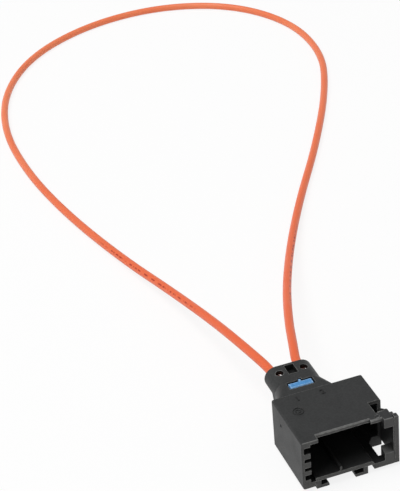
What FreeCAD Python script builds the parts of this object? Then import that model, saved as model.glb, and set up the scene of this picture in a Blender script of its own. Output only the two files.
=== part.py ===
import FreeCAD, Part
import math
import os

# Two-way optical loop connector: a moulded coupling housing with a locking plate, two contacts, and one
# cable that leaves the hood on the left and comes back into it on the right.
# Sizes are in millimetres. In the housing, x runs from its left wall, y from its front face towards the
# hood, and z from the surface that its rails rest on.

# Housing body
BODY_WIDTH = 22.8
BODY_DEPTH = 17.8
BODY_TOP = 14.25
SKIRT_BOTTOM = 0.9
LEFT_SKIRT_WIDTH = 3.1
RIGHT_SKIRT_WIDTH = 5.2
FLOOR_UNDERSIDE = 2.3
FLOOR_THICKNESS = 1.05
ROOF_THICKNESS = 0.95
BODY_EDGE_RADIUS = 0.5
BODY_FACE_RADIUS = 0.25

# Socket behind the front opening
SOCKET_DEPTH = 14.5
LEFT_WALL = 2.1
SOCKET_WIDTH = 15.3
ROOF_SETBACK = 1.7
ROOF_CHAMFER = 0.3
LEFT_CORNER_WIDTH = 4.1
BRIDGE_SETBACK = 0.9
FLOOR_RIB_WIDTH = 0.55
FLOOR_RIB_HEIGHT = 1.0
FLOOR_RIB_FROM_LEFT = 9.15
FLOOR_RIB_FRONT = 0.2
FLOOR_RIB_LENGTH = 11.5

# Coding slots in the left wall, each from the slot's lower edge to its upper edge above the socket's floor
SLOT_SKIN = 0.55
SLOT_DEPTH = 12.0
CODING_SLOTS = [(0.12, 1.55), (2.76, 3.63), (5.17, 6.19), (7.63, 9.33)]
KEY_NOTCH_LEFT = 1.9
KEY_NOTCH_DEPTH = 2.5
KEY_NOTCH_DROP = 0.8

# Latch strap, its channel and its window on the right, and the guard wall outside the channel
STRAP_DEPTH = 3.8
STRAP_FOOT_DEPTH = 2.2
STRAP_THICKNESS = 1.5
STRAP_REAR_RADIUS = 0.35
LIP_REACH = 1.2
LIP_DEPTH = 1.3
LIP_STEP = 1.5
LIP_CORNER_RADIUS = 0.45
LIP_EDGE_RADIUS = 0.3
CHANNEL_DEPTH = 13.5
CHANNEL_WALL = 0.9
CHANNEL_TOP = 11.7
CHANNEL_FLOOR = 2.4
CHANNEL_FROM_LEFT = 17.8
CHANNEL_SLOPE_RUN = 0.7
STRAP_BLOCK_WIDTH = 2.2
CATCH_FRONT_HEIGHT = 4.3
CATCH_REAR_HEIGHT = 5.2
WINDOW_WIDTH = 3.2
WINDOW_BACK = 7.3
SILL_TOP = 3.9
SILL_SLOPE_RUN = 0.6
BRIDGE_RELIEF = 0.8
LEDGE_DEPTH = 0.6
LEDGE_DROP = 0.4
HUMP_WIDTH = 1.1
GUARD_BOTTOM = 2.7
GUARD_TOP = 10.5
GUARD_END = 9.0
GUARD_TAPER = 1.0

# Rails under the floor, a pair that makes a T slot along the depth
RAIL_SLOT_WIDTH = 10.55
RAIL_MOUTH_WIDTH = 6.55
RAIL_THICKNESS = 1.1
RAIL_LIP_THICKNESS = 0.85
RAIL_FRONT = 0.2
RAIL_LENGTH = 16.0
RAIL_CENTRE_FROM_LEFT = 9.7
RAIL_LIP_RADIUS = 0.35

# Contact axes, hood and the deeper base of the hood
AXIS_FROM_LEFT = 8.8
AXIS_PITCH = 6.2
AXIS_BELOW_TOP = 3.05
HOOD_STEP = 0.15
NECK_LENGTH = 12.0
HOOD_BORE_RADIUS = 1.8
HOOD_MOUTH_RADIUS = 2.15
HOOD_MOUTH_DEPTH = 1.5
HOOD_RIM_RADIUS = 0.35
BASE_LENGTH = 7.1
BASE_BELOW_AXIS = 5.6
BASE_LOW_RADIUS = 1.4
BASE_SLOPE_RUN = 2.2
FLARE_LENGTH = 5.0
FLARE_REACH = 1.15
FLARE_TOP_RADIUS = 1.2

# Openings in the hood's top
WINDOW_HOLE_RADIUS = 1.0
WINDOW_HOLE_FROM_END = 3.1
POCKET_WIDTH = 2.3
POCKET_LENGTH = 3.5
POCKET_DEPTH = 1.8
POCKET_FROM_END = 0.9

# Locking plate and its slot
LOCK_WIDTH = 5.8
LOCK_THICKNESS = 1.84
LOCK_BEHIND_BODY = 2.3
LOCK_SHANK_WIDTH = 2.6
LOCK_CLEARANCE = 0.15
LOCK_SADDLE_CLEARANCE = 0.2
LOCK_HEAD_ABOVE_AXIS = 0.2
LOCK_FOOT_CLEARANCE = 0.3
LOCK_EDGE_RADIUS = 0.2
LOCK_BELOW_TOP = 0.05
NUB_WIDTH = 0.6
NUB_REACH = 0.8
NUB_HEIGHT = 2.2
NUB_OFFSET = 0.2
NUB_CLEARANCE = 0.2
SLOT_FLOOR_THICKNESS = 1.0
SLOT_LEAD_IN = 0.22
SLOT_LEAD_IN_DEPTH = 1.2

# Contacts, sleeves and the stripped fibre ends
TIP_RADIUS = 1.25
TIP_CHAMFER = 0.2
TIP_BACK_FROM_FRONT = 11.4
COLLAR_RADIUS = 1.6
GROOVE_RADIUS = 1.05
GROOVE_CLEARANCE = 0.22
TAIL_RADIUS = 1.45
TAIL_LENGTH = 1.8
REAR_COLLAR_LENGTH = 1.45
CRIMP_RINGS = 2
CRIMP_RING_WIDTH = 0.4
CRIMP_RING_DEPTH = 0.15
SHOULDER_IN_WALL = 2.5
SHOULDER_CLEARANCE = 0.15
TIP_CLEARANCE = 0.12
SLEEVE_RADIUS = 1.75
SLEEVE_LENGTH = 7.8
SLEEVE_SEAT_DEPTH = 1.5
SLEEVE_CLEARANCE = 0.03
SLEEVE_SLIT = 0.4
SLEEVE_CHAMFER = 0.2
SLEEVE_RELIEF_AHEAD = 0.2
SLEEVE_RELIEF_BEHIND = 1.4
SLEEVE_RELIEF_DEPTH = 0.25
BUFFER_RADIUS = 0.755
CORE_RADIUS = 0.5
FIBRE_CLEARANCE = 0.02

# Cable
JACKET_RADIUS = 1.15
CABLE_ABOVE_SURFACE = 0.01
CABLE_EXIT_RUN = 6.2
ARC_SHARE = 0.45

# Places worked out from the sizes above
LEFT = -(BODY_WIDTH + LIP_REACH) / 2
FRONT = -(BODY_DEPTH + NECK_LENGTH) / 2
FLOOR_TOP = FLOOR_UNDERSIDE + FLOOR_THICKNESS
CEILING = BODY_TOP - ROOF_THICKNESS
SOCKET_RIGHT = LEFT_WALL + SOCKET_WIDTH
STRAP_INNER = BODY_WIDTH + LIP_REACH - STRAP_THICKNESS
STRAP_BLOCK_LEFT = STRAP_INNER - STRAP_BLOCK_WIDTH
WINDOW_LEFT = BODY_WIDTH - WINDOW_WIDTH
AXIS_Z = BODY_TOP - AXIS_BELOW_TOP
AXES = {
    "left": AXIS_FROM_LEFT - AXIS_PITCH / 2,
    "right": AXIS_FROM_LEFT + AXIS_PITCH / 2,
}
HOOD_RADIUS = AXIS_BELOW_TOP - HOOD_STEP
HOOD_TOP = BODY_TOP - HOOD_STEP
HOOD_END = BODY_DEPTH + NECK_LENGTH
HOOD_HALF_WIDTH = AXIS_PITCH / 2 + HOOD_RADIUS
BASE_BOTTOM = AXIS_Z - BASE_BELOW_AXIS
LOCK_FRONT = BODY_DEPTH + LOCK_BEHIND_BODY
LOCK_BACK = LOCK_FRONT + LOCK_THICKNESS
LOCK_TOP = HOOD_TOP - LOCK_BELOW_TOP
LOCK_SLOT_FLOOR = BASE_BOTTOM + SLOT_FLOOR_THICKNESS
GROOVE_FRONT = LOCK_FRONT - GROOVE_CLEARANCE
GROOVE_BACK = LOCK_BACK + GROOVE_CLEARANCE
SHOULDER = SOCKET_DEPTH + SHOULDER_IN_WALL
COLLAR_FRONT = SHOULDER + SHOULDER_CLEARANCE
TAIL_FRONT = GROOVE_BACK + REAR_COLLAR_LENGTH
TAIL_BACK = TAIL_FRONT + TAIL_LENGTH
SLEEVE_BACK = SOCKET_DEPTH + SLEEVE_SEAT_DEPTH
SLEEVE_FRONT = SLEEVE_BACK - SLEEVE_LENGTH

# How far cutting shapes run past a face, and how near counts as touching
PAST = 1.0
NEAR = 1e-6

# The cable's route between its two straight exits, first down to the surface, from the part's own origin
CABLE_LIE = JACKET_RADIUS + CABLE_ABOVE_SURFACE
CABLE_ROUTE = [
    (-8.0, 26.5, 11.0),
    (-10.5, 45.0, 8.8),
    (-14.0, 69.0, 4.6),
    (-20.4, 97.0, 1.5),
    (-27.7, 128.0, CABLE_LIE),
    (-32.0, 158.0, CABLE_LIE),
    (-32.0, 189.5, CABLE_LIE),
    (-24.5, 218.0, CABLE_LIE),
    (-8.0, 242.0, CABLE_LIE),
    (17.5, 256.5, CABLE_LIE),
    (45.0, 258.5, CABLE_LIE),
    (69.0, 246.5, CABLE_LIE),
    (82.5, 222.0, CABLE_LIE),
    (82.5, 192.5, CABLE_LIE),
    (71.5, 164.5, CABLE_LIE),
    (54.0, 132.0, CABLE_LIE),
    (37.2, 104.5, 1.3),
    (23.6, 79.0, 3.1),
    (12.6, 54.5, 7.0),
    (5.8, 36.0, 9.9),
    (2.4, 24.8, 11.1),
]


def point(x, y, z):
    """A place measured from the left wall, the front face and the resting surface."""
    return FreeCAD.Vector(LEFT + x, FRONT + y, z)


def block(x_span, y_span, z_span):
    """A straight-sided block between three pairs of planes."""
    size = [high - low for low, high in (x_span, y_span, z_span)]
    return Part.makeBox(*size, point(x_span[0], y_span[0], z_span[0]))


def depth_prism(outline, y_span):
    """An outline of (x, z) corners, drawn seen from the front and extruded along the depth."""
    corners = [point(x, y_span[0], z) for x, z in outline]
    face = Part.Face(Part.makePolygon(corners + corners[:1]))
    return face.extrude(FreeCAD.Vector(0, y_span[1] - y_span[0], 0))


def side_prism(outline, x_span):
    """An outline of (y, z) corners, drawn seen from the left and extruded across the width."""
    corners = [point(x_span[0], y, z) for y, z in outline]
    face = Part.Face(Part.makePolygon(corners + corners[:1]))
    return face.extrude(FreeCAD.Vector(x_span[1] - x_span[0], 0, 0))


def plan_prism(outline, z_span):
    """An outline of (x, y) corners, drawn seen from above and extruded upwards."""
    corners = [point(x, y, z_span[0]) for x, y in outline]
    face = Part.Face(Part.makePolygon(corners + corners[:1]))
    return face.extrude(FreeCAD.Vector(0, 0, z_span[1] - z_span[0]))


def bar(x, z, radius, y_span):
    """A round bar along the depth."""
    return Part.makeCylinder(radius, y_span[1] - y_span[0], point(x, y_span[0], z), FreeCAD.Vector(0, 1, 0))


def turned(x, profile):
    """A turned piece on a contact axis, from (y, radius) corners."""
    corners = [point(x, y, AXIS_Z + radius) for y, radius in profile]
    face = Part.Face(Part.makePolygon(corners + corners[:1]))
    return face.revolve(point(x, 0, AXIS_Z), FreeCAD.Vector(0, 1, 0), 360)


def rounded_section(half_width, bottom, top_radius, low_radius, y):
    """A closed section across the hood, with round upper and lower corners, at one depth."""
    left = AXIS_FROM_LEFT - half_width
    right = AXIS_FROM_LEFT + half_width
    corners = [
        (left, HOOD_TOP, top_radius, 1, -1),
        (right, HOOD_TOP, top_radius, -1, -1),
        (right, bottom, low_radius, -1, 1),
        (left, bottom, low_radius, 1, 1),
    ]
    bulge = 1 - math.sqrt(0.5)
    arcs = []
    for number, (x, z, radius, x_way, z_way) in enumerate(corners):
        beside = point(x, y, z + z_way * radius)
        level = point(x + x_way * radius, y, z)
        middle = point(x + x_way * radius * bulge, y, z + z_way * radius * bulge)
        ends = (beside, level) if number % 2 == 0 else (level, beside)
        arcs.append((ends[0], middle, ends[1]))
    edges = []
    for arc, after in zip(arcs, arcs[1:] + arcs[:1]):
        edges.append(Part.Arc(*arc).toShape())
        if arc[2].distanceToPoint(after[0]) > NEAR:
            edges.append(Part.LineSegment(arc[2], after[0]).toShape())
    return Part.Wire(edges)


def rounded(shape, radius, wanted):
    """The shape with a radius on the edges whose box passes the test."""
    edges = [edge for edge in shape.Edges if wanted(edge.BoundBox)]
    return shape.makeFillet(radius, edges)


def runs_along_depth(box, x, z):
    """Whether an edge's box runs along the depth at a place seen from the front."""
    flat = box.XLength < NEAR and box.ZLength < NEAR
    return flat and abs(box.XMin - LEFT - x) < NEAR and abs(box.ZMin - z) < NEAR


def body_block():
    """The outer body with its two skirts, before anything is cut into it."""
    right_skirt = BODY_WIDTH - RIGHT_SKIRT_WIDTH
    outline = [
        (0, SKIRT_BOTTOM),
        (LEFT_SKIRT_WIDTH, SKIRT_BOTTOM),
        (LEFT_SKIRT_WIDTH, FLOOR_UNDERSIDE),
        (right_skirt, FLOOR_UNDERSIDE),
        (right_skirt, SKIRT_BOTTOM),
        (BODY_WIDTH, SKIRT_BOTTOM),
        (BODY_WIDTH, BODY_TOP),
        (0, BODY_TOP),
    ]
    body = depth_prism(outline, (0, BODY_DEPTH))
    outer = [(0, SKIRT_BOTTOM), (0, BODY_TOP), (BODY_WIDTH, BODY_TOP)]
    body = rounded(body, BODY_EDGE_RADIUS, lambda box: any(runs_along_depth(box, *place) for place in outer))
    ends = (FRONT, FRONT + BODY_DEPTH)

    def round_an_end_face(box):
        on_face = box.YLength < NEAR and any(abs(box.YMin - end) < NEAR for end in ends)
        return on_face and box.ZMax > FLOOR_UNDERSIDE + NEAR

    return rounded(body, BODY_FACE_RADIUS, round_an_end_face)


def strap_lip():
    """The strap's outer upright with the taller lip on its front."""
    x_span = (BODY_WIDTH, BODY_WIDTH + LIP_REACH)
    outline = [
        (0, SKIRT_BOTTOM),
        (STRAP_DEPTH, SKIRT_BOTTOM),
        (STRAP_DEPTH, BODY_TOP - LIP_STEP),
        (LIP_DEPTH, BODY_TOP - LIP_STEP),
        (LIP_DEPTH, BODY_TOP),
        (0, BODY_TOP),
    ]
    lip = side_prism(outline, x_span)
    lip = rounded(lip, LIP_CORNER_RADIUS, lambda box: runs_along_depth(box, x_span[1], BODY_TOP))
    outer = LEFT + x_span[1]
    return rounded(lip, LIP_EDGE_RADIUS, lambda box: box.YMax < FRONT + NEAR and box.XMin > outer - NEAR)


def latch_guard():
    """The wall outside the latch channel, from the strap back to the body, where it tapers off."""
    outer = BODY_WIDTH + LIP_REACH
    outline = [
        (STRAP_INNER, STRAP_DEPTH - PAST),
        (outer, STRAP_DEPTH - PAST),
        (outer, GUARD_END - GUARD_TAPER),
        (BODY_WIDTH, GUARD_END),
        (STRAP_INNER, GUARD_END),
    ]
    return plan_prism(outline, (GUARD_BOTTOM, GUARD_TOP))


def rail(side):
    """One of the two facing rails, with its lip turned inwards."""
    slot_edge = RAIL_CENTRE_FROM_LEFT + side * RAIL_SLOT_WIDTH / 2
    lip_edge = RAIL_CENTRE_FROM_LEFT + side * RAIL_MOUTH_WIDTH / 2
    outer = slot_edge + side * RAIL_THICKNESS
    outline = [
        (outer, 0),
        (lip_edge, 0),
        (lip_edge, RAIL_LIP_THICKNESS),
        (slot_edge, RAIL_LIP_THICKNESS),
        (slot_edge, FLOOR_UNDERSIDE),
        (outer, FLOOR_UNDERSIDE),
    ]
    solid = depth_prism(outline, (RAIL_FRONT, RAIL_FRONT + RAIL_LENGTH))
    return rounded(solid, RAIL_LIP_RADIUS, lambda box: runs_along_depth(box, lip_edge, RAIL_LIP_THICKNESS))


def hood():
    """The round-sided hood over the two cable exits."""
    outline = rounded_section(HOOD_HALF_WIDTH, AXIS_Z - HOOD_RADIUS, HOOD_RADIUS, HOOD_RADIUS, BODY_DEPTH)
    solid = Part.Face(outline).extrude(FreeCAD.Vector(0, NECK_LENGTH, 0))
    end = FRONT + HOOD_END
    return rounded(solid, HOOD_RIM_RADIUS, lambda box: box.YMin > end - NEAR)


def hood_base():
    """The deeper base of the hood, which flares into the body and holds the locking plate's slot."""
    flare_end = BODY_DEPTH + FLARE_LENGTH
    reach = HOOD_HALF_WIDTH + FLARE_REACH
    wide = rounded_section(reach, BASE_BOTTOM, FLARE_TOP_RADIUS, BASE_LOW_RADIUS, BODY_DEPTH)
    narrow = rounded_section(HOOD_HALF_WIDTH, BASE_BOTTOM, HOOD_RADIUS, BASE_LOW_RADIUS, flare_end)
    flare = Part.makeLoft([wide, narrow], True, True)
    straight = Part.Face(narrow).extrude(FreeCAD.Vector(0, BASE_LENGTH - FLARE_LENGTH, 0))
    base_end = BODY_DEPTH + BASE_LENGTH
    below = [
        (base_end - BASE_SLOPE_RUN, BASE_BOTTOM),
        (base_end, AXIS_Z),
        (base_end + PAST, AXIS_Z),
        (base_end + PAST, BASE_BOTTOM - PAST),
        (base_end - BASE_SLOPE_RUN, BASE_BOTTOM - PAST),
    ]
    slope = side_prism(below, (0, BODY_WIDTH))
    return flare.fuse(straight).cut(slope)


def setback_outline(setback):
    """Seen from the left, what is cut off the roof's front edge, with a chamfer on the edge that is left."""
    return [
        (-PAST, CEILING - PAST),
        (setback, CEILING - PAST),
        (setback, BODY_TOP - ROOF_CHAMFER),
        (setback + ROOF_CHAMFER + PAST, BODY_TOP + PAST),
        (-PAST, BODY_TOP + PAST),
    ]


def channel_cuts():
    """The latch channel beside the socket, and the window through it from the roof to the floor."""
    beside_socket = SOCKET_RIGHT - PAST
    channel_right = BODY_WIDTH - CHANNEL_WALL
    floor = [
        (beside_socket, FLOOR_TOP),
        (CHANNEL_FROM_LEFT - CHANNEL_SLOPE_RUN, FLOOR_TOP),
        (CHANNEL_FROM_LEFT, CHANNEL_FLOOR),
    ]
    beside_catch = floor + [
        (STRAP_BLOCK_LEFT, CHANNEL_FLOOR),
        (STRAP_BLOCK_LEFT, CEILING),
        (beside_socket, CEILING),
    ]
    behind_window = floor + [
        (WINDOW_LEFT, CHANNEL_FLOOR),
        (WINDOW_LEFT + SILL_SLOPE_RUN, SILL_TOP),
        (channel_right, SILL_TOP),
        (channel_right, CEILING),
        (beside_socket, CEILING),
    ]
    over_catch = [
        (-PAST, CATCH_FRONT_HEIGHT),
        (0, CATCH_FRONT_HEIGHT),
        (STRAP_FOOT_DEPTH, CATCH_REAR_HEIGHT),
        (WINDOW_BACK, CATCH_REAR_HEIGHT),
        (WINDOW_BACK, CHANNEL_TOP),
        (-PAST, CHANNEL_TOP),
    ]
    past_strap = BODY_WIDTH + LIP_REACH + PAST
    behind_strap = (STRAP_DEPTH, WINDOW_BACK)
    behind_bridge = (STRAP_DEPTH - BRIDGE_RELIEF, WINDOW_BACK)
    return [
        depth_prism(beside_catch, (-PAST, WINDOW_BACK)),
        depth_prism(behind_window, (WINDOW_BACK - PAST, CHANNEL_DEPTH)),
        side_prism(over_catch, (beside_socket, STRAP_INNER)),
        block((WINDOW_LEFT, STRAP_INNER), (STRAP_FOOT_DEPTH, WINDOW_BACK), (-PAST, CHANNEL_TOP)),
        block((WINDOW_LEFT, past_strap), behind_strap, (GUARD_TOP, BODY_TOP + PAST)),
        block((WINDOW_LEFT, STRAP_BLOCK_LEFT), behind_bridge, (GUARD_TOP, BODY_TOP + PAST)),
        block((WINDOW_LEFT, past_strap), behind_strap, (-PAST, GUARD_BOTTOM)),
    ]


def socket_cuts():
    """The socket, its coding slots and what is cut off the walls round its opening."""
    opening = (-PAST, SOCKET_DEPTH)
    notch = (FLOOR_TOP - KEY_NOTCH_DROP, FLOOR_TOP + PAST)
    cuts = [
        block((LEFT_WALL, SOCKET_RIGHT), opening, (FLOOR_TOP, CEILING)),
        side_prism(setback_outline(ROOF_SETBACK), (LEFT_CORNER_WIDTH, SOCKET_RIGHT)),
        side_prism(setback_outline(BRIDGE_SETBACK), (SOCKET_RIGHT - PAST, STRAP_BLOCK_LEFT)),
        block((KEY_NOTCH_LEFT, LEFT_SKIRT_WIDTH), (-PAST, KEY_NOTCH_DEPTH), notch),
    ]
    for low, high in CODING_SLOTS:
        heights = (FLOOR_TOP + low, FLOOR_TOP + high)
        cuts.append(block((SLOT_SKIN, LEFT_WALL + PAST), (-PAST, SLOT_DEPTH), heights))
    return cuts


def contact_cuts(x):
    """One contact's stepped bore, from its sleeve's seat to the end of the hood, and its window hole."""
    hole = point(x, HOOD_END - WINDOW_HOLE_FROM_END, AXIS_Z)
    mouth = point(x, HOOD_END - HOOD_MOUTH_DEPTH, AXIS_Z)
    spread = (HOOD_MOUTH_RADIUS - HOOD_BORE_RADIUS) / HOOD_MOUTH_DEPTH
    return [
        bar(x, AXIS_Z, SLEEVE_RADIUS + SLEEVE_CLEARANCE, (SOCKET_DEPTH - PAST, SLEEVE_BACK)),
        bar(x, AXIS_Z, TIP_RADIUS + TIP_CLEARANCE, (SOCKET_DEPTH, SHOULDER + PAST)),
        bar(x, AXIS_Z, HOOD_BORE_RADIUS, (SHOULDER, HOOD_END + PAST)),
        Part.makeCone(HOOD_BORE_RADIUS, HOOD_MOUTH_RADIUS + spread * PAST, HOOD_MOUTH_DEPTH + PAST, mouth,
                      FreeCAD.Vector(0, 1, 0)),
        Part.makeCylinder(WINDOW_HOLE_RADIUS, HOOD_RADIUS + PAST, hole),
    ]


def lock_cuts():
    """The locking plate's slot with its lead-in and nub notch, and the pocket between the window holes."""
    half = LOCK_WIDTH / 2 + LOCK_CLEARANCE
    wide = half + SLOT_LEAD_IN
    front = LOCK_FRONT - LOCK_CLEARANCE
    back = LOCK_BACK + LOCK_CLEARANCE
    up = HOOD_TOP + PAST
    nub_half = NUB_WIDTH / 2 + NUB_CLEARANCE
    nub_x = AXIS_FROM_LEFT + NUB_OFFSET
    nub_back = LOCK_BACK + NUB_REACH + NUB_CLEARANCE
    pocket_back = HOOD_END - POCKET_FROM_END
    pocket_half = POCKET_WIDTH / 2
    return [
        block((AXIS_FROM_LEFT - half, AXIS_FROM_LEFT + half), (front, back), (LOCK_SLOT_FLOOR, up)),
        block((AXIS_FROM_LEFT - wide, AXIS_FROM_LEFT + wide), (front - SLOT_LEAD_IN, back + SLOT_LEAD_IN),
              (HOOD_TOP - SLOT_LEAD_IN_DEPTH, up)),
        block((nub_x - nub_half, nub_x + nub_half), (back - PAST, nub_back),
              (LOCK_TOP - NUB_HEIGHT - NUB_CLEARANCE, up)),
        block((AXIS_FROM_LEFT - pocket_half, AXIS_FROM_LEFT + pocket_half),
              (pocket_back - POCKET_LENGTH, pocket_back), (HOOD_TOP - POCKET_DEPTH, up)),
    ]


def on_strap_rear(box):
    """Whether an edge's box lies along the top of the strap's rear face, down to the lip's step."""
    on_face = box.YLength < NEAR and abs(box.YMin - FRONT - STRAP_DEPTH) < NEAR
    return on_face and box.ZMax > BODY_TOP - LIP_STEP + NEAR and box.XMax > LEFT + STRAP_INNER


def strap_ledge():
    """The ledge behind the strap's top, beside the hump on its outer end."""
    x_span = (STRAP_BLOCK_LEFT, BODY_WIDTH - HUMP_WIDTH)
    y_span = (STRAP_DEPTH - LEDGE_DEPTH, STRAP_DEPTH + PAST)
    return block(x_span, y_span, (BODY_TOP - LEDGE_DROP, BODY_TOP + PAST))


def housing():
    """The whole moulding, as one solid."""
    outside = body_block().fuse([strap_lip(), latch_guard(), rail(-1), rail(1), hood(), hood_base()])
    cuts = socket_cuts() + channel_cuts() + lock_cuts()
    for x in AXES.values():
        cuts += contact_cuts(x)
    shell = outside.cut(cuts).removeSplitter()
    shell = rounded(shell, STRAP_REAR_RADIUS, on_strap_rear).cut(strap_ledge())
    rib = block((FLOOR_RIB_FROM_LEFT, FLOOR_RIB_FROM_LEFT + FLOOR_RIB_WIDTH),
                (FLOOR_RIB_FRONT, FLOOR_RIB_FRONT + FLOOR_RIB_LENGTH),
                (FLOOR_UNDERSIDE, FLOOR_TOP + FLOOR_RIB_HEIGHT))
    return shell.fuse(rib).removeSplitter()


def secondary_lock():
    """The locking plate: its saddles sit in the contacts' grooves, and its shank is guided in the slot."""
    saddle = GROOVE_RADIUS + LOCK_SADDLE_CLEARANCE
    half = LOCK_WIDTH / 2
    shank = LOCK_SHANK_WIDTH / 2
    head_low = AXIS_Z + LOCK_HEAD_ABOVE_AXIS
    foot = LOCK_SLOT_FLOOR + LOCK_FOOT_CLEARANCE
    outline = []
    for side in (-1, 1):
        corners = [(shank, foot), (shank, head_low), (half, head_low), (half, LOCK_TOP)]
        half_outline = [(AXIS_FROM_LEFT + side * x, z) for x, z in corners]
        outline += half_outline if side < 0 else half_outline[::-1]
    plate = depth_prism(outline, (LOCK_FRONT, LOCK_BACK))
    nub_x = AXIS_FROM_LEFT + NUB_OFFSET
    nub = block((nub_x - NUB_WIDTH / 2, nub_x + NUB_WIDTH / 2),
                (LOCK_BACK - LOCK_EDGE_RADIUS, LOCK_BACK + NUB_REACH),
                (LOCK_TOP - NUB_HEIGHT, LOCK_TOP))
    saddles = [bar(x, AXIS_Z, saddle, (LOCK_FRONT - PAST, LOCK_BACK + PAST)) for x in AXES.values()]
    plate = plate.fuse(nub).cut(saddles).removeSplitter()
    return rounded(plate, LOCK_EDGE_RADIUS, lambda box: box.ZMin > LOCK_TOP - NEAR)


def ferrule(x):
    """One crimped contact, bored for the fibre: tip, collar, lock groove, rear collar and ringed tail."""
    bore = BUFFER_RADIUS + FIBRE_CLEARANCE
    ringed = TAIL_RADIUS - CRIMP_RING_DEPTH
    profile = [
        (TIP_BACK_FROM_FRONT, bore),
        (TIP_BACK_FROM_FRONT, TIP_RADIUS - TIP_CHAMFER),
        (TIP_BACK_FROM_FRONT + TIP_CHAMFER, TIP_RADIUS),
        (COLLAR_FRONT, TIP_RADIUS),
        (COLLAR_FRONT, COLLAR_RADIUS),
        (GROOVE_FRONT, COLLAR_RADIUS),
        (GROOVE_FRONT, GROOVE_RADIUS),
        (GROOVE_BACK, GROOVE_RADIUS),
        (GROOVE_BACK, COLLAR_RADIUS),
        (TAIL_FRONT, COLLAR_RADIUS),
        (TAIL_FRONT, TAIL_RADIUS),
    ]
    ring_step = TAIL_LENGTH / (CRIMP_RINGS + 1)
    for number in range(CRIMP_RINGS):
        middle = TAIL_FRONT + (number + 1) * ring_step
        for y, radius in ((-1, TAIL_RADIUS), (-1, ringed), (1, ringed), (1, TAIL_RADIUS)):
            profile.append((middle + y * CRIMP_RING_WIDTH / 2, radius))
    profile += [(TAIL_BACK, TAIL_RADIUS), (TAIL_BACK, bore)]
    return turned(x, profile)


def sleeve(x):
    """One split sleeve that centres the mating contact on the tip, with a relief where the two tips meet."""
    bore = TIP_RADIUS + SLEEVE_CLEARANCE
    relief = bore + SLEEVE_RELIEF_DEPTH
    relief_front = TIP_BACK_FROM_FRONT - SLEEVE_RELIEF_AHEAD
    relief_back = TIP_BACK_FROM_FRONT + SLEEVE_RELIEF_BEHIND
    profile = [
        (SLEEVE_FRONT, bore + SLEEVE_CHAMFER),
        (SLEEVE_FRONT, SLEEVE_RADIUS),
        (SLEEVE_BACK, SLEEVE_RADIUS),
        (SLEEVE_BACK, bore),
        (relief_back, bore),
        (relief_back, relief),
        (relief_front, relief),
        (relief_front, bore),
        (SLEEVE_FRONT + SLEEVE_CHAMFER, bore),
    ]
    slit = block((x - SLEEVE_SLIT / 2, x + SLEEVE_SLIT / 2), (SLEEVE_FRONT - PAST, SLEEVE_BACK + PAST),
                 (AXIS_Z - SLEEVE_RADIUS - PAST, AXIS_Z))
    return turned(x, profile).cut(slit)


def buffer(x):
    """The inner sheath of one stripped cable end, as long as its contact."""
    ends = (TIP_BACK_FROM_FRONT, TAIL_BACK)
    return bar(x, AXIS_Z, BUFFER_RADIUS, ends).cut(bar(x, AXIS_Z, CORE_RADIUS + FIBRE_CLEARANCE / 2, ends))


def fibre_core(x):
    """The light guide of one stripped cable end."""
    return bar(x, AXIS_Z, CORE_RADIUS, (TIP_BACK_FROM_FRONT, TAIL_BACK))


def cable_line(points):
    """Straight runs joined by tangent arcs as large as the runs allow, and the arcs' radii."""
    edges = []
    radii = []
    start = points[0]
    for before, corner, after in zip(points, points[1:], points[2:]):
        run_in = corner - before
        run_out = after - corner
        half_turn = run_in.getAngle(run_out) / 2
        setback = ARC_SHARE * min(run_in.Length, run_out.Length)
        radius = setback / math.tan(half_turn)
        way_in = run_in.normalize()
        way_out = run_out.normalize()
        arc_start = corner - way_in * setback
        arc_end = corner + way_out * setback
        inward = (way_out - way_in).normalize()
        middle = corner + inward * (radius / math.cos(half_turn) - radius)
        edges.append(Part.LineSegment(start, arc_start).toShape())
        edges.append(Part.Arc(arc_start, middle, arc_end).toShape())
        radii.append(radius)
        start = arc_end
    edges.append(Part.LineSegment(start, points[-1]).toShape())
    return Part.Wire(edges), radii


def cable_jacket():
    """The jacketed cable from the left contact's tail round the loop to the right contact's tail."""
    first, last = [point(x, TAIL_BACK, AXIS_Z) for x in AXES.values()]
    out = FreeCAD.Vector(0, CABLE_EXIT_RUN, 0)
    route = [FreeCAD.Vector(*place) for place in CABLE_ROUTE]
    line, radii = cable_line([first, first + out] + route + [last + out, last])
    section = Part.Wire(Part.makeCircle(JACKET_RADIUS, first, out))
    tube = line.makePipeShell([section], True, True)
    print("cable radii", [round(radius, 1) for radius in radii])
    print("cable length", round(line.Length, 1))
    by_section = math.pi * JACKET_RADIUS ** 2 * line.Length
    print("cable volume", round(tube.Volume, 1), "section by length", round(by_section, 1))
    return tube


def save(name, shape):
    """Write one piece to its own file."""
    shape.exportStep(os.path.join("parts", name + ".step"))


os.makedirs("parts", exist_ok=True)
save("housing", housing())
save("secondary_lock", secondary_lock())
for side, axis_x in AXES.items():
    save("ferrule_" + side, ferrule(axis_x))
    save("sleeve_" + side, sleeve(axis_x))
    save("buffer_" + side, buffer(axis_x))
    save("fibre_core_" + side, fibre_core(axis_x))
save("cable_jacket", cable_jacket())
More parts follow.
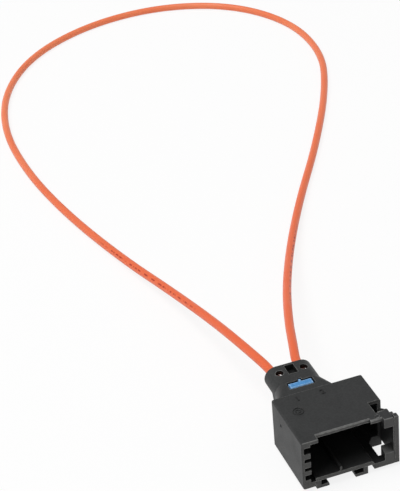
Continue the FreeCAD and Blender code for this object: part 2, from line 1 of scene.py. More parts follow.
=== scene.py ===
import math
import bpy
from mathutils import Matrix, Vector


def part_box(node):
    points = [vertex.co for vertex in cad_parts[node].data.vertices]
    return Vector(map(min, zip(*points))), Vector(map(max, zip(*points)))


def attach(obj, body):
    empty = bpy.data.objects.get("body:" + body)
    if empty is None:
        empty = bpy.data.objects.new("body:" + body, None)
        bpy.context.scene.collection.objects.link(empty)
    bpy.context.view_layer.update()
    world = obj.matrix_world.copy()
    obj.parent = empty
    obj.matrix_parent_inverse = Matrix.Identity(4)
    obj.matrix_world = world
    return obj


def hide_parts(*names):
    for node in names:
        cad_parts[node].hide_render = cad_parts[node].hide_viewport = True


bl_info = {
    "name": "Optical Loop Connector",
    "version": (1, 0, 0),
    "blender": (4, 5, 0),
    "location": "View3D > Sidebar > Connector",
    "description": "Finishes, cable, mould marks and studio for a fibre optic loop connector",
    "category": "Object",
}

import bmesh
import bpy
from bpy.props import FloatProperty, FloatVectorProperty, PointerProperty
from bpy.types import Operator, Panel, PropertyGroup
from mathutils import Matrix, Vector

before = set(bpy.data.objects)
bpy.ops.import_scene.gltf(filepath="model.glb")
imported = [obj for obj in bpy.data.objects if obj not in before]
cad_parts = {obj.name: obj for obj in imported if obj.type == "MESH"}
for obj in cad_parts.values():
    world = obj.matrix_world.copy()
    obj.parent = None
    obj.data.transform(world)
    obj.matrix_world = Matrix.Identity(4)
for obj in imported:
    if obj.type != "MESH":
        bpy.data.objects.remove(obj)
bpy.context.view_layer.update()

# All lengths are in metres. The two contacts lie side by side, with their axes from front to back.
LEFT_AXIS = -0.0063
RIGHT_AXIS = -0.0001
AXIS_HEIGHT = 0.0112
CONTACT_TAIL = 0.01051

# The cable's route, from the left contact's tail round the loop to the right contact's tail
STRAIGHT_END = 0.01671
CABLE_LIE = 0.00116
CABLE_ROUTE = [
    (LEFT_AXIS, CONTACT_TAIL, AXIS_HEIGHT),
    (LEFT_AXIS, STRAIGHT_END, AXIS_HEIGHT),
    (-0.0080, 0.0265, 0.0110),
    (-0.0105, 0.0450, 0.0088),
    (-0.0140, 0.0690, 0.0046),
    (-0.0204, 0.0970, 0.0015),
    (-0.0277, 0.1280, CABLE_LIE),
    (-0.0320, 0.1580, CABLE_LIE),
    (-0.0320, 0.1895, CABLE_LIE),
    (-0.0245, 0.2180, CABLE_LIE),
    (-0.0080, 0.2420, CABLE_LIE),
    (0.0175, 0.2565, CABLE_LIE),
    (0.0450, 0.2585, CABLE_LIE),
    (0.0690, 0.2465, CABLE_LIE),
    (0.0825, 0.2220, CABLE_LIE),
    (0.0825, 0.1925, CABLE_LIE),
    (0.0715, 0.1645, CABLE_LIE),
    (0.0540, 0.1320, CABLE_LIE),
    (0.0372, 0.1045, 0.0013),
    (0.0236, 0.0790, 0.0031),
    (0.0126, 0.0545, 0.0070),
    (0.0058, 0.0360, 0.0099),
    (0.0024, 0.0248, 0.0111),
    (RIGHT_AXIS, STRAIGHT_END, AXIS_HEIGHT),
    (RIGHT_AXIS, CONTACT_TAIL, AXIS_HEIGHT),
]

# Places of the mould's marks: across and along the top, and along and up the left wall
RING_PLACE = (-0.0080, -0.0037)
PIN_PLACE = (0.0074, -0.0131)
GATE_PLACE = (-0.0023, 0.0104)
NUMBER_ROW = 0.0006

# Index of refraction and specular level of the plastics
PLASTIC_IOR = 1.5
PLASTIC_GLOSS = 0.35

WHITE = (1.0, 1.0, 1.0)


class HousingLook(PropertyGroup):
    """Moulded housing."""

    plastic: FloatVectorProperty(
        name="Plastic", description="Colour of the glass-filled housing plastic",
        subtype="COLOR", min=0, max=1, default=(0.0334, 0.0346, 0.0350))
    # Rubbed wear and painted highlight: this pale colour lightens the open edges and the forward-up chamfers
    scuff: FloatVectorProperty(
        name="Scuffed edge", description="Colour of edges that handling has rubbed pale",
        subtype="COLOR", min=0, max=1, default=(0.30, 0.30, 0.29))
    # Painted light: this colour lightens the open front faces
    mated: FloatVectorProperty(
        name="Mating face", description="Colour of front faces that plugging in has rubbed",
        subtype="COLOR", min=0, max=1, default=(0.059, 0.0585, 0.056))
    roughness: FloatProperty(
        name="Roughness", description="Roughness of the housing", subtype="FACTOR",
        min=0, max=1, default=0.52)
    grain: FloatProperty(
        name="Grain", description="Size of the spark-eroded texture on the mould's faces",
        unit="LENGTH", default=0.00016, min=0.00001)
    edge_radius: FloatProperty(
        name="Edge radius", description="Softness of edges that are drawn sharp",
        unit="LENGTH", default=0.00028, min=0.00001)


class MarksLook(PropertyGroup):
    """Marks that the mould leaves on the housing."""

    # Painted shade: the marks' skin is painted darker than the housing
    skin: FloatVectorProperty(
        name="Skin", description="Colour of the smooth skin that a polished mould insert leaves",
        subtype="COLOR", min=0, max=1, default=(0.014, 0.0145, 0.0148))
    roughness: FloatProperty(
        name="Roughness", description="Roughness of the smooth skin", subtype="FACTOR",
        min=0, max=1, default=0.4)
    grain: FloatProperty(
        name="Grain", description="Size of the texture on the smooth skin",
        unit="LENGTH", default=0.0003, min=0.00001)
    edge_radius: FloatProperty(
        name="Edge radius", description="Softness of the marks' edges",
        unit="LENGTH", default=0.00004, min=0.00001)
    height: FloatProperty(
        name="Height", description="How far the marks stand proud of the housing",
        unit="LENGTH", default=0.00015, min=0.00001)
    ring_radius: FloatProperty(
        name="Ring radius", description="Outer radius of the mould insert's ring",
        unit="LENGTH", default=0.00135, min=0.0001)
    ring_width: FloatProperty(
        name="Ring width", description="Width of the mould insert's ring",
        unit="LENGTH", default=0.00026, min=0.00005)
    number_size: FloatProperty(
        name="Number size", description="Height of the way numbers in front of the hood",
        unit="LENGTH", default=0.0016, min=0.0001)
    gate_radius: FloatProperty(
        name="Gate radius", description="Radius of the moulding gate's scar on the left wall",
        unit="LENGTH", default=0.00042, min=0.0001)
    pin_radius: FloatProperty(
        name="Pin radius", description="Radius of the ejector pin's print on the strap's bridge",
        unit="LENGTH", default=0.0006, min=0.0001)


class LockLook(PropertyGroup):
    """Locking plate."""

    plastic: FloatVectorProperty(
        name="Plastic", description="Colour of the locking plate",
        subtype="COLOR", min=0, max=1, default=(0.086, 0.328, 0.70))
    # Rubbed wear and painted highlight: this pale colour lightens the plate's edges, as far as the edge
    # radius reaches
    scuff: FloatVectorProperty(
        name="Scuffed edge", description="Colour of the locking plate's rubbed edges",
        subtype="COLOR", min=0, max=1, default=(0.42, 0.63, 0.88))
    roughness: FloatProperty(
        name="Roughness", description="Roughness of the locking plate", subtype="FACTOR",
        min=0, max=1, default=0.42)
    grain: FloatProperty(
        name="Grain", description="Size of the texture on the locking plate",
        unit="LENGTH", default=0.0002, min=0.00001)
    edge_radius: FloatProperty(
        name="Edge radius", description="Softness and reach of the rubbed edges",
        unit="LENGTH", default=0.0008, min=0.00001)


class ContactLook(PropertyGroup):
    """Contacts, alignment sleeves and stripped fibre ends."""

    plating: FloatVectorProperty(
        name="Plating", description="Colour of the plated contacts",
        subtype="COLOR", min=0, max=1, default=(0.62, 0.57, 0.46))
    plating_roughness: FloatProperty(
        name="Plating roughness", description="Roughness of the plated contacts", subtype="FACTOR",
        min=0, max=1, default=0.26)
    strip: FloatVectorProperty(
        name="Spring strip", description="Colour of the sleeves' rolled spring strip",
        subtype="COLOR", min=0, max=1, default=(0.55, 0.34, 0.17))
    strip_roughness: FloatProperty(
        name="Strip roughness", description="Roughness of the spring strip", subtype="FACTOR",
        min=0, max=1, default=0.34)
    sheath: FloatVectorProperty(
        name="Inner sheath", description="Colour of the cable's inner sheath",
        subtype="COLOR", min=0, max=1, default=(0.012, 0.012, 0.012))
    sheath_roughness: FloatProperty(
        name="Sheath roughness", description="Roughness of the inner sheath", subtype="FACTOR",
        min=0, max=1, default=0.5)
    sheath_grain: FloatProperty(
        name="Sheath grain", description="Size of the texture on the inner sheath",
        unit="LENGTH", default=0.0002, min=0.00001)
    sheath_edge: FloatProperty(
        name="Sheath edge", description="Softness of the inner sheath's cut edges",
        unit="LENGTH", default=0.00005, min=0.00001)
    guide: FloatVectorProperty(
        name="Light guide", description="Tint of the clear light guide",
        subtype="COLOR", min=0, max=1, default=(0.92, 0.95, 0.96))


class CableLook(PropertyGroup):
    """Jacketed cable."""

    diameter: FloatProperty(
        name="Diameter", description="Outer diameter of the jacket",
        unit="LENGTH", default=0.0023, min=0.0005)
    length: FloatProperty(
        name="Length", description="Length of the cable from one contact's tail to the other's",
        unit="LENGTH", default=0.579, min=0.05)
    jacket: FloatVectorProperty(
        name="Jacket", description="Colour of the extruded jacket",
        subtype="COLOR", min=0, max=1, default=(0.81, 0.138, 0.047))
    # Painted light: the far part of the loop is painted paler than the near part
    faded: FloatVectorProperty(
        name="Strained jacket", description="Colour of the jacket where the loop's bend has paled it",
        subtype="COLOR", min=0, max=1, default=(0.90, 0.246, 0.109))
    ink: FloatVectorProperty(
        name="Ink", description="Colour of the dashes printed along the jacket",
        subtype="COLOR", min=0, max=1, default=(0.36, 0.015, 0.004))


class StageLook(PropertyGroup):
    """Floor, light and camera."""

    floor: FloatVectorProperty(
        name="Floor", description="Colour of the floor", subtype="COLOR",
        min=0, max=1, default=(0.93, 0.93, 0.93))
    floor_radius: FloatProperty(
        name="Floor radius", description="Radius of the flat part of the floor",
        unit="LENGTH", default=2.4, min=0.5)
    cove_radius: FloatProperty(
        name="Cove radius", description="Radius of the cove in which the floor turns up at its edge",
        unit="LENGTH", default=0.8, min=0.1)
    whiteness: FloatProperty(
        name="Whiteness", description="Share of plain white in the floor that is seen", subtype="FACTOR",
        min=0, max=1, default=0.84)
    surround: FloatProperty(
        name="Surround", description="Strength of the even light from all round",
        min=0, default=0.42)
    key_power: FloatProperty(
        name="Key lamp", description="Power of the large lamp on the left",
        subtype="POWER", min=0, default=13.3)
    key_size: FloatProperty(
        name="Key lamp size", description="Diameter of the large lamp",
        unit="LENGTH", default=1.1, min=0.01)
    key_place: FloatVectorProperty(
        name="Key lamp place", description="Where the large lamp hangs", subtype="TRANSLATION",
        default=(-0.5, 0.08, 1.3))
    azimuth: FloatProperty(
        name="Azimuth", description="Camera's direction round the connector, from its front",
        subtype="ANGLE", default=math.radians(-16.86))
    elevation: FloatProperty(
        name="Elevation", description="Camera's direction above the floor",
        subtype="ANGLE", default=math.radians(32.0))
    roll: FloatProperty(
        name="Roll", description="Camera's turn about its own line of sight",
        subtype="ANGLE", default=math.radians(-5.43))
    place: FloatVectorProperty(
        name="Camera", description="Camera's place", subtype="TRANSLATION",
        default=(-0.10984, -0.27514, 0.24200))
    lens: FloatProperty(
        name="Lens", description="Focal length on a 36 mm long side, in millimetres",
        default=117.54, min=1)


class ConnectorLook(PropertyGroup):
    """All that a user of the connector would change."""

    housing: PointerProperty(type=HousingLook)
    marks: PointerProperty(type=MarksLook)
    lock: PointerProperty(type=LockLook)
    contacts: PointerProperty(type=ContactLook)
    cable: PointerProperty(type=CableLook)
    stage: PointerProperty(type=StageLook)


def opaque(colour):
    """A colour as a shader socket takes it."""
    return (*colour, 1.0)


def around(value, changes):
    """A value with each of some changes made to it."""
    return [value + change for change in changes]


class Finish:
    """A new node material, with short calls for the nodes that its look needs."""

    NONE_TO_ALL = (0.0, 1.0)
    ALL_TO_NONE = (1.0, 0.0)
    # Levels of detail in noise, and the values that it mostly keeps between
    SMOOTH, PLAIN, FINE, FINEST = 1.0, 2.0, 3.0, 4.0
    NOISE_SPAN = (0.3, 0.7)
    # How well the softened and the true normal agree, from a full edge to a flat face
    EDGE_SPAN = (0.92, 0.995)
    # Share of open sky, from a sheltered place to an open one
    OPEN_SPAN = (0.4, 0.75)
    # Share of a band's half width that is fully covered
    BAND_CORE = 0.7
    # Rays that feel for edges and for shelter
    RAYS = 8

    def __init__(self, name):
        self.material = bpy.data.materials.new(name)
        self.material.use_nodes = True
        self.tree = self.material.node_tree
        self.shader = self.tree.nodes["Principled BSDF"]
        self.place = self.node("ShaderNodeTexCoord").outputs["Object"]

    def node(self, kind, **settings):
        made = self.tree.nodes.new(kind)
        for key, value in settings.items():
            setattr(made, key, value)
        return made

    def feed(self, socket, value):
        """Link a node's output to a socket, or set a plain value there."""
        if isinstance(value, bpy.types.NodeSocket):
            self.tree.links.new(value, socket)
        else:
            socket.default_value = value

    def give(self, socket, value):
        """Feed one of the shader's own sockets."""
        self.feed(self.shader.inputs[socket], value)

    def noise(self, size, detail=PLAIN, place=None):
        """Noise whose features are about a length across."""
        made = self.node("ShaderNodeTexNoise")
        self.feed(made.inputs["Vector"], place or self.place)
        self.feed(made.inputs["Scale"], 1.0 / size)
        self.feed(made.inputs["Detail"], detail)
        return made.outputs["Fac"]

    def spread(self, value, results, span=NOISE_SPAN):
        """A span of values mapped to a pair of results, without going past its ends."""
        made = self.node("ShaderNodeMapRange")
        self.feed(made.inputs["Value"], value)
        for name, number in zip(("From Min", "From Max", "To Min", "To Max"), (*span, *results)):
            self.feed(made.inputs[name], number)
        return made.outputs["Result"]

    def mix(self, factor, first, second):
        made = self.node("ShaderNodeMix", data_type="RGBA")
        self.feed(made.inputs["Factor"], factor)
        self.feed(made.inputs["A"], first)
        self.feed(made.inputs["B"], second)
        return made.outputs["Result"]

    def compute(self, operation, *values):
        made = self.node("ShaderNodeMath", operation=operation)
        for socket, value in zip(made.inputs, values):
            self.feed(socket, value)
        return made.outputs["Value"]

    def times(self, *factors):
        """Factors multiplied together."""
        product = factors[0]
        for factor in factors[1:]:
            product = self.compute("MULTIPLY", product, factor)
        return product

    def near(self, value, centre, half):
        """Whether a value is in a band: 1 about its centre, and 0 past half its width."""
        off = self.compute("ABSOLUTE", self.compute("SUBTRACT", value, centre))
        return self.spread(off, self.ALL_TO_NONE, (self.BAND_CORE * half, half))

    def alike(self, first, second):
        """How well two directions agree, from -1 to 1."""
        made = self.node("ShaderNodeVectorMath", operation="DOT_PRODUCT")
        self.feed(made.inputs[0], first)
        self.feed(made.inputs[1], second)
        return made.outputs["Value"]

    def stretched(self, place, scale):
        made = self.node("ShaderNodeMapping")
        self.feed(made.inputs["Vector"], place)
        self.feed(made.inputs["Scale"], scale)
        return made.outputs["Vector"]

    def parts(self, place):
        """The X, Y and Z of a place."""
        made = self.node("ShaderNodeSeparateXYZ")
        self.feed(made.inputs["Vector"], place)
        return made.outputs

    def worn(self, radius):
        """Shading normal with softened edges, and how much of an edge each place is."""
        bevel = self.node("ShaderNodeBevel", samples=self.RAYS)
        self.feed(bevel.inputs["Radius"], radius)
        soft = bevel.outputs["Normal"]
        face = self.node("ShaderNodeNewGeometry").outputs["Normal"]
        return soft, self.spread(self.alike(soft, face), self.ALL_TO_NONE, self.EDGE_SPAN)

    def exposed(self, reach):
        """How open each place is within a reach: the mask for rubbed wear, painted light and painted shade.
        """
        open_sky = self.node("ShaderNodeAmbientOcclusion", samples=self.RAYS, only_local=True)
        self.feed(open_sky.inputs["Distance"], reach)
        return self.spread(open_sky.outputs["AO"], self.NONE_TO_ALL, self.OPEN_SPAN)

    def facing(self, way, span):
        """How squarely each face looks along a direction of the piece."""
        normal = self.node("ShaderNodeTexCoord").outputs["Normal"]
        return self.spread(self.alike(normal, Vector(way).normalized()), self.NONE_TO_ALL, span)

    def bump(self, height, depth, normal=None):
        """Relief of a depth in metres from a height between 0 and 1."""
        made = self.node("ShaderNodeBump")
        self.feed(made.inputs["Height"], height)
        self.feed(made.inputs["Distance"], depth)
        if normal:
            self.feed(made.inputs["Normal"], normal)
        return made.outputs["Normal"]


class MouldedPlastic(Finish):
    """Moulded plastic with a fine eroded grain, uneven gloss and painted shade that darkens sheltered faces.
    """

    CLOUD_SIZE, CLOUD_DEPTH, CLOUD_SHADE = 0.006, 0.00002, (0.8, 1.0)
    FLECK_SIZE, FLECK_DEPTH, FLECK_SHADE = 0.00045, 0.000006, (0.65, 1.0)
    # Painted shade: the colour darkens in places that are sheltered within this reach
    SHELTER_REACH, SHELTER_SHADE = 0.02, (0.4, 1.0)
    GRAIN_DEPTH = 0.000012
    GLOSS_CHANGE = (-0.05, 0.06)
    # Patches of rubbed wear, painted light and painted highlight: their size, how even they are on faces,
    # and where they lie on edges
    SPECK_SIZE = 0.0011
    FACE_EVENNESS = 0.6
    EDGE_PATCHES = (0.35, 0.6)
    EDGE_REACHED = (0.45, 0.9)

    def __init__(self, name, base, roughness, grain, edge_radius):
        super().__init__(name)
        self.specks = self.noise(self.SPECK_SIZE, self.FINEST)
        self.open = self.exposed(self.SHELTER_REACH)
        soft, self.edge = self.worn(edge_radius)
        cloud = self.noise(self.CLOUD_SIZE, self.FINE)
        flecks = self.noise(self.FLECK_SIZE, self.FINE)
        # Random tone from the cloud and flecks, times painted shade in sheltered places
        shade = self.times(
            self.spread(cloud, self.CLOUD_SHADE), self.spread(flecks, self.FLECK_SHADE),
            self.spread(self.open, self.SHELTER_SHADE, self.NONE_TO_ALL))
        self.body = opaque((0, 0, 0))
        self.paint(shade, base)
        self.give("Roughness", self.spread(cloud, around(roughness, self.GLOSS_CHANGE)))
        flow = self.bump(flecks, self.FLECK_DEPTH, self.bump(cloud, self.CLOUD_DEPTH, soft))
        self.give("Normal", self.bump(self.noise(grain), self.GRAIN_DEPTH, flow))
        self.give("IOR", PLASTIC_IOR)
        self.give("Specular IOR Level", PLASTIC_GLOSS)

    def paint(self, cover, colour):
        """Lay a colour over what is there, as thick as the cover says."""
        self.body = self.mix(cover, self.body, opaque(colour))
        self.give("Base Color", self.body)

    def rub_faces(self, way, span, colour, strength):
        """Painted light in patches on the open faces that look along a direction."""
        patches = self.spread(self.specks, (self.FACE_EVENNESS * strength, strength))
        self.paint(self.times(self.facing(way, span), self.open, patches), colour)

    def rub_edges(self, colour, strength, evenness):
        """Pale patches along the open edges: rubbed wear and painted highlight."""
        patches = self.spread(self.specks, (evenness * strength, strength), self.EDGE_PATCHES)
        reached = self.spread(self.open, self.NONE_TO_ALL, self.EDGE_REACHED)
        self.paint(self.times(self.edge, reached, patches), colour)


class TurnedMetal(Finish):
    """Turned or rolled metal with fine rings along the contact axis and a little tarnish."""

    RING_SIZE, RING_STRETCH, RING_DEPTH = 0.00007, (0.05, 1.0, 0.05), 0.000004
    TARNISH_SIZE, TARNISH_SHADE = 0.0012, 0.72
    GLOSS_CHANGE = (-0.06, 0.1)

    def __init__(self, name, tint, roughness):
        super().__init__(name)
        rings = self.noise(self.RING_SIZE, place=self.stretched(self.place, self.RING_STRETCH))
        tarnish = self.spread(self.noise(self.TARNISH_SIZE, self.FINEST), self.NONE_TO_ALL)
        dull = [self.TARNISH_SHADE * part for part in tint]
        self.give("Base Color", self.mix(tarnish, opaque(tint), opaque(dull)))
        self.give("Roughness", self.spread(rings, around(roughness, self.GLOSS_CHANGE)))
        self.give("Normal", self.bump(rings, self.RING_DEPTH))
        self.give("Metallic", 1.0)


class ClearGuide(Finish):
    """Clear light guide with a polished end and faint haze."""

    HAZE_SIZE, HAZE_ROUGHNESS = 0.0004, (0.03, 0.12)
    CLEARNESS = 0.85
    GUIDE_IOR = 1.49

    def __init__(self, name, tint):
        super().__init__(name)
        self.give("Base Color", opaque(tint))
        haze = self.noise(self.HAZE_SIZE, self.FINE)
        self.give("Roughness", self.spread(haze, self.HAZE_ROUGHNESS))
        self.give("Transmission Weight", self.CLEARNESS)
        self.give("IOR", self.GUIDE_IOR)


class ExtrudedJacket(Finish):
    """Extruded jacket: satin and faintly clear, with die lines, painted light that makes the far loop paler,
    and a row of dashes.

    Its surface runs from 0 to 1 along the cable and once from 0 to 1 round it, with the top near 0.19.
    """

    # How far back the painted light makes the jacket paler, and how much, in uneven patches
    BEND_SPAN, BEND_SHARE = (0.06, 0.22), (0.1, 1.0)
    FADE_SIZE, FADE_SHARE = 0.02, (0.6, 1.0)
    GLOSS_SIZE, ROUGHNESS = 0.004, (0.34, 0.46)
    LINE_SIZE, LINE_STRETCH, LINE_DEPTH = 0.05, (0.04, 1.0, 1.0), 0.000008
    GLOW, GLOW_REACH, GLOW_COLOUR = 0.12, 0.0006, (1.0, 0.35, 0.2)
    # Dashes: the stretch from each end and the row round the cable that hold them, their size and cover
    HALFWAY = 0.5
    STRETCH_CENTRE, STRETCH_HALF = 0.168, 0.046
    ROW_CENTRE, ROW_HALF = 0.06, 0.035
    ALONG = (1.0, 0.0, 0.0)
    DASH_SIZE, DASH_SPAN, DASH_COVER = 0.003, (0.48, 0.54), (0.0, 0.85)

    def __init__(self, name, fresh, faded, ink):
        super().__init__(name)
        surface = self.node("ShaderNodeTexCoord").outputs["UV"]
        # Painted light: paler towards the far loop
        bent = self.spread(self.parts(self.place)["Y"], self.BEND_SHARE, self.BEND_SPAN)
        paled = self.times(bent, self.spread(self.noise(self.FADE_SIZE, self.FINE), self.FADE_SHARE))
        bare = self.mix(paled, opaque(fresh), opaque(faded))
        self.give("Base Color", self.mix(self.dashes(surface), bare, opaque(ink)))
        self.give("Roughness", self.spread(self.noise(self.GLOSS_SIZE, self.FINE), self.ROUGHNESS))
        lines = self.noise(self.LINE_SIZE, place=self.stretched(surface, self.LINE_STRETCH))
        self.give("Normal", self.bump(lines, self.LINE_DEPTH))
        self.give("IOR", PLASTIC_IOR)
        self.give("Specular IOR Level", PLASTIC_GLOSS)
        self.give("Subsurface Weight", self.GLOW)
        self.give("Subsurface Radius", self.GLOW_COLOUR)
        self.give("Subsurface Scale", self.GLOW_REACH)

    def dashes(self, surface):
        """Cover of the plain dashes along the jacket's outer side, on a stretch near each end."""
        from_end = self.compute("PINGPONG", self.parts(surface)["X"], self.HALFWAY)
        stretch = self.near(from_end, self.STRETCH_CENTRE, self.STRETCH_HALF)
        row = self.near(self.parts(surface)["Y"], self.ROW_CENTRE, self.ROW_HALF)
        broken = self.noise(self.DASH_SIZE, self.SMOOTH, self.stretched(surface, self.ALONG))
        return self.times(stretch, row, self.spread(broken, self.DASH_COVER, self.DASH_SPAN))


class FloorPaper(Finish):
    """Matt floor that mixes in plain white where it is seen directly, reflected or through clear pieces."""

    ROUGHNESS, GLOSS = 0.9, 0.1
    WHITE_STRENGTH = 1.0

    def __init__(self, name, tint, whiteness):
        super().__init__(name)
        self.give("Base Color", opaque(tint))
        self.give("Roughness", self.ROUGHNESS)
        self.give("Specular IOR Level", self.GLOSS)
        path = self.node("ShaderNodeLightPath")
        seen = path.outputs["Is Camera Ray"]
        for kind in ("Is Glossy Ray", "Is Transmission Ray"):
            seen = self.compute("MAXIMUM", seen, path.outputs[kind])
        white = self.node("ShaderNodeEmission")
        self.feed(white.inputs["Color"], opaque(WHITE))
        self.feed(white.inputs["Strength"], self.WHITE_STRENGTH)
        both = self.node("ShaderNodeMixShader")
        self.feed(both.inputs["Fac"], self.times(seen, whiteness))
        self.feed(both.inputs[1], self.shader.outputs["BSDF"])
        self.feed(both.inputs[2], white.outputs["Emission"])
        self.feed(self.tree.nodes["Material Output"].inputs["Surface"], both.outputs["Shader"])


def wear(node, material):
    """Give a piece one finish."""
    node.data.materials.clear()
    node.data.materials.append(material)


def add_piece(name, data, material):
    """Put a new piece in the scene, on the housing's body."""
    piece = bpy.data.objects.new(name, data)
    bpy.context.scene.collection.objects.link(piece)
    wear(piece, material)
    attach(piece, "connector")
    return piece


def turned(name, profiles, steps):
    """A mesh turned about its own upright axis from closed profiles of radii and heights."""
    same_place = 1e-8
    work = bmesh.new()
    for profile in profiles:
        corners = [work.verts.new((radius, 0, height)) for radius, height in profile]
        sides = [work.edges.new((corner, corners[place - 1])) for place, corner in enumerate(corners)]
        bmesh.ops.spin(work, geom=corners + sides, axis=(0, 0, 1), cent=(0, 0, 0), angle=math.tau,
                       steps=steps, use_merge=True)
    bmesh.ops.remove_doubles(work, verts=work.verts, dist=same_place)
    bmesh.ops.dissolve_degenerate(work, edges=work.edges, dist=same_place)
    bmesh.ops.recalc_face_normals(work, faces=work.faces)
    mesh = bpy.data.meshes.new(name)
    work.to_mesh(mesh)
    work.free()
    mesh.shade_smooth()
    return mesh


class CONNECTOR_OT_dress_housing(Operator):
    """Give the housing its moulded finish"""

    bl_idname = "connector.dress_housing"
    bl_label = "Dress Housing"

    # Painted light on the front faces and painted highlight on the chamfers that look forward and up:
    # which way these look, how squarely they have to, and how strongly they are painted
    FRONT, FRONT_SPAN, FRONT_RUB = (0, -1, 0), (0.7, 0.95), 1.0
    LEAD, LEAD_SPAN, LEAD_RUB = (0, -1, 1), (0.8, 0.97), 0.5
    EDGE_RUB, EDGE_EVENNESS = 0.7, 0.25

    def execute(self, context):
        look = context.scene.connector_look.housing
        plastic = MouldedPlastic(
            "housing_plastic", look.plastic, look.roughness, look.grain, look.edge_radius)
        # Painted light on the front faces
        plastic.rub_faces(self.FRONT, self.FRONT_SPAN, look.mated, self.FRONT_RUB)
        # Painted highlight on the chamfers and fillets that look forward and up
        plastic.rub_faces(self.LEAD, self.LEAD_SPAN, look.scuff, self.LEAD_RUB)
        # Pale edges: rubbed wear and painted highlight
        plastic.rub_edges(look.scuff, self.EDGE_RUB, self.EDGE_EVENNESS)
        wear(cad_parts["housing"], plastic.material)
        return {"FINISHED"}


class CONNECTOR_OT_raise_marks(Operator):
    """Raise the plain marks that the mould leaves on the housing"""

    bl_idname = "connector.raise_marks"
    bl_label = "Raise Mould Marks"

    STEPS_ROUND = 48
    # Shares of a mark's height, width or radius
    FOOT, SHOULDER, SHOULDER_RUN = -0.5, 0.5, 0.2
    RING_SHARES = (1.0, 0.5)
    PIN_RIM = 0.4
    SCAR = ((0, 0.15), (0.45, 0.25), (0.7, 0.8), (0.88, 0.7), (1, 0))
    # A digit's height as a share of its type size, and how its height splits into wall and bevel
    DIGIT_HEIGHT, DIGIT_WALL, DIGIT_BEVEL = 0.7, 0.75, 0.25

    def execute(self, context):
        look = context.scene.connector_look.marks
        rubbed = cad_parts["housing"].data.materials[0]
        # The marks are painted darker than the housing, as painted shade
        skin = MouldedPlastic("mark_plastic", look.skin, look.roughness, look.grain, look.edge_radius)
        smooth = skin.material
        low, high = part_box("housing")
        rings = [self.rim(look, share * look.ring_radius, look.ring_width) for share in self.RING_SHARES]
        pin = [self.rim(look, look.pin_radius, self.PIN_RIM * look.pin_radius)]
        scar = [self.scar(look, look.gate_radius)]
        for name, profiles, place, turn, finish in (
            ("insert_ring", rings, (*RING_PLACE, high[2]), 0.0, smooth),
            ("ejector_print", pin, (*PIN_PLACE, high[2]), 0.0, rubbed),
            ("gate_scar", scar, (low[0], *GATE_PLACE), -math.pi / 2, smooth),
        ):
            piece = add_piece(name, turned(name, profiles, self.STEPS_ROUND), finish)
            piece.location = place
            piece.rotation_euler = (0, turn, 0)
        for digit, axis in (("1", LEFT_AXIS), ("2", RIGHT_AXIS)):
            self.number(look, digit, (axis, NUMBER_ROW, high[2]), smooth)
        return {"FINISHED"}

    def rim(self, look, radius, width):
        """Profile of a low ring with soft shoulders."""
        inner = radius - width
        foot, shoulder, run = self.FOOT * look.height, self.SHOULDER * look.height, self.SHOULDER_RUN * width
        return [
            (inner, foot), (inner, shoulder), (inner + run, look.height),
            (radius - run, look.height), (radius, shoulder), (radius, foot),
        ]

    def scar(self, look, radius):
        """Profile of a snapped-off gate: a shallow dish with a torn rim."""
        foot = self.FOOT * look.height
        dish = [(out * radius, up * look.height) for out, up in self.SCAR]
        return [(0, foot), *dish, (radius, foot)]

    def number(self, look, digit, place, finish):
        """Raise one way's number."""
        name = "way_number_" + digit
        text = bpy.data.curves.new(name, "FONT")
        text.body = digit
        text.size = look.number_size / self.DIGIT_HEIGHT
        text.align_x = "CENTER"
        text.align_y = "CENTER"
        text.bevel_depth = self.DIGIT_BEVEL * look.height
        text.extrude = self.DIGIT_WALL * look.height
        piece = add_piece(name, text, finish)
        piece.location = place


class CONNECTOR_OT_dress_lock(Operator):
    """Give the locking plate its finish"""

    bl_idname = "connector.dress_lock"
    bl_label = "Dress Locking Plate"

    EDGE_RUB, EDGE_EVENNESS = 0.95, 0.6

    def execute(self, context):
        look = context.scene.connector_look.lock
        plastic = MouldedPlastic("lock_plastic", look.plastic, look.roughness, look.grain, look.edge_radius)
        # Pale edges: rubbed wear and painted highlight
        plastic.rub_edges(look.scuff, self.EDGE_RUB, self.EDGE_EVENNESS)
        wear(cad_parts["secondary_lock"], plastic.material)
        return {"FINISHED"}


class CONNECTOR_OT_dress_contacts(Operator):
    """Give the contacts, sleeves and stripped fibre ends their finishes"""

    bl_idname = "connector.dress_contacts"
    bl_label = "Dress Contacts"

    def execute(self, context):
        look = context.scene.connector_look.contacts
        finishes = {
            "ferrule": TurnedMetal("ferrule_plating", look.plating, look.plating_roughness),
            "sleeve": TurnedMetal("sleeve_strip", look.strip, look.strip_roughness),
            "buffer": MouldedPlastic(
                "buffer_sheath", look.sheath, look.sheath_roughness, look.sheath_grain, look.sheath_edge),
            "fibre_core": ClearGuide("light_guide", look.guide),
        }
        for piece, finish in finishes.items():
            for side in ("left", "right"):
                wear(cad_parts[piece + "_" + side], finish.material)
        return {"FINISHED"}


class CONNECTOR_OT_lay_cable(Operator):
    """Lay the jacketed cable from one contact round the loop to the other"""

    bl_idname = "connector.lay_cable"
    bl_label = "Lay Cable"

    ORDER = 3
    STEPS_ALONG = 12
    STEPS_ROUND = 7

    def execute(self, context):
        look = context.scene.connector_look.cable
        curve = bpy.data.curves.new("cable", "CURVE")
        curve.dimensions = "3D"
        spline = curve.splines.new("NURBS")
        spline.points.add(len(CABLE_ROUTE) - 1)
        for point, place in zip(spline.points, CABLE_ROUTE):
            point.co = (*place, 1.0)
        spline.order_u = self.ORDER
        spline.use_endpoint_u = True
        spline.resolution_u = self.STEPS_ALONG
        curve.bevel_depth = look.diameter / 2
        curve.bevel_resolution = self.STEPS_ROUND
        curve.use_fill_caps = True
        jacket = ExtrudedJacket("cable_jacket", look.jacket, look.faded, look.ink)
        cable = add_piece("cable", curve, jacket.material)
        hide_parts("cable_jacket")
        return {"FINISHED"}


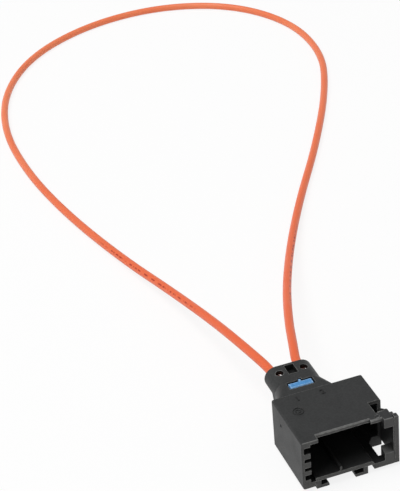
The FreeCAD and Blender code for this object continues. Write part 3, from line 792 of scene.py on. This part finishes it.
class CONNECTOR_OT_set_stage(Operator):
    """Lay the floor, hang the lamp and set the camera"""

    bl_idname = "connector.set_stage"
    bl_label = "Set Stage"

    FLOOR_STEPS = 96
    COVE_STEPS = 6
    FLOOR_THICKNESS = 0.01
    LONG_SIDE = 36.0
    NEAREST = 0.01

    def execute(self, context):
        scene = context.scene
        look = scene.connector_look.stage
        scene.view_settings.view_transform = "Standard"
        self.lay_floor(scene, look)
        self.light(scene, look)
        self.set_camera(scene, look)
        return {"FINISHED"}

    def lay_floor(self, scene, look):
        """A round floor that turns up in a cove at its edge."""
        flat, rise, under = look.floor_radius, look.cove_radius, -self.FLOOR_THICKNESS
        outside = flat + rise + self.FLOOR_THICKNESS
        turns = [math.pi / 2 * step / self.COVE_STEPS for step in range(self.COVE_STEPS + 1)]
        cove = [(flat + rise * math.sin(turn), rise * (1 - math.cos(turn))) for turn in turns]
        cove += [(outside, rise), (outside, under), (0, under), (0, 0)]
        floor = bpy.data.objects.new("floor", turned("floor", [cove], self.FLOOR_STEPS))
        scene.collection.objects.link(floor)
        wear(floor, FloorPaper("floor_paper", look.floor, look.whiteness).material)

    def light(self, scene, look):
        """Even light from all round, and one large lamp that looks at the connector."""
        world = bpy.data.worlds.new("surround")
        world.use_nodes = True
        sky = world.node_tree.nodes["Background"]
        sky.inputs["Color"].default_value = opaque(WHITE)
        sky.inputs["Strength"].default_value = look.surround
        scene.world = world
        lamp = bpy.data.lights.new("key", "AREA")
        lamp.energy = look.key_power
        lamp.shape = "DISK"
        lamp.size = look.key_size
        key = bpy.data.objects.new("key", lamp)
        key.location = look.key_place
        key.rotation_euler = (-key.location).to_track_quat("-Z", "Y").to_euler()
        scene.collection.objects.link(key)

    def set_camera(self, scene, look):
        """A camera at a place, turned by its azimuth, its elevation and then its roll."""
        flat = math.cos(look.elevation)
        across, along = math.sin(look.azimuth), math.cos(look.azimuth)
        back = Vector((across * flat, -along * flat, math.sin(look.elevation)))
        level = Vector((0, 0, 1)).cross(back).normalized()
        upright = back.cross(level)
        right = level * math.cos(look.roll) + upright * math.sin(look.roll)
        turn = Matrix((right, back.cross(right), back)).transposed()
        lens = bpy.data.cameras.new("camera")
        lens.sensor_width = self.LONG_SIDE
        lens.lens = look.lens
        lens.clip_start = self.NEAREST
        camera = bpy.data.objects.new("camera", lens)
        camera.matrix_world = Matrix.Translation(look.place) @ turn.to_4x4()
        scene.collection.objects.link(camera)
        scene.camera = camera


class CONNECTOR_PT_sidebar(Panel):
    """Lists the connector's pieces and their settings"""

    bl_idname = "CONNECTOR_PT_sidebar"
    bl_label = "Loop Connector"
    bl_space_type = "VIEW_3D"
    bl_region_type = "UI"
    bl_category = "Connector"

    def draw(self, context):
        look = context.scene.connector_look
        for part, operator in STEPS:
            box = self.layout.box()
            box.operator(operator.bl_idname)
            settings = getattr(look, part)
            for name in settings.__annotations__:
                box.prop(settings, name)


STEPS = (
    ("housing", CONNECTOR_OT_dress_housing),
    ("marks", CONNECTOR_OT_raise_marks),
    ("lock", CONNECTOR_OT_dress_lock),
    ("contacts", CONNECTOR_OT_dress_contacts),
    ("cable", CONNECTOR_OT_lay_cable),
    ("stage", CONNECTOR_OT_set_stage),
)
CLASSES = (
    HousingLook, MarksLook, LockLook, ContactLook, CableLook, StageLook, ConnectorLook,
    *(operator for _, operator in STEPS),
    CONNECTOR_PT_sidebar,
)


def register():
    for kind in CLASSES:
        bpy.utils.register_class(kind)
    bpy.types.Scene.connector_look = PointerProperty(type=ConnectorLook)


def unregister():
    del bpy.types.Scene.connector_look
    for kind in reversed(CLASSES):
        bpy.utils.unregister_class(kind)


def main():
    register()
    for _, operator in STEPS:
        group, name = operator.bl_idname.split(".")
        getattr(getattr(bpy.ops, group), name)()


if __name__ == "__main__":
    main()
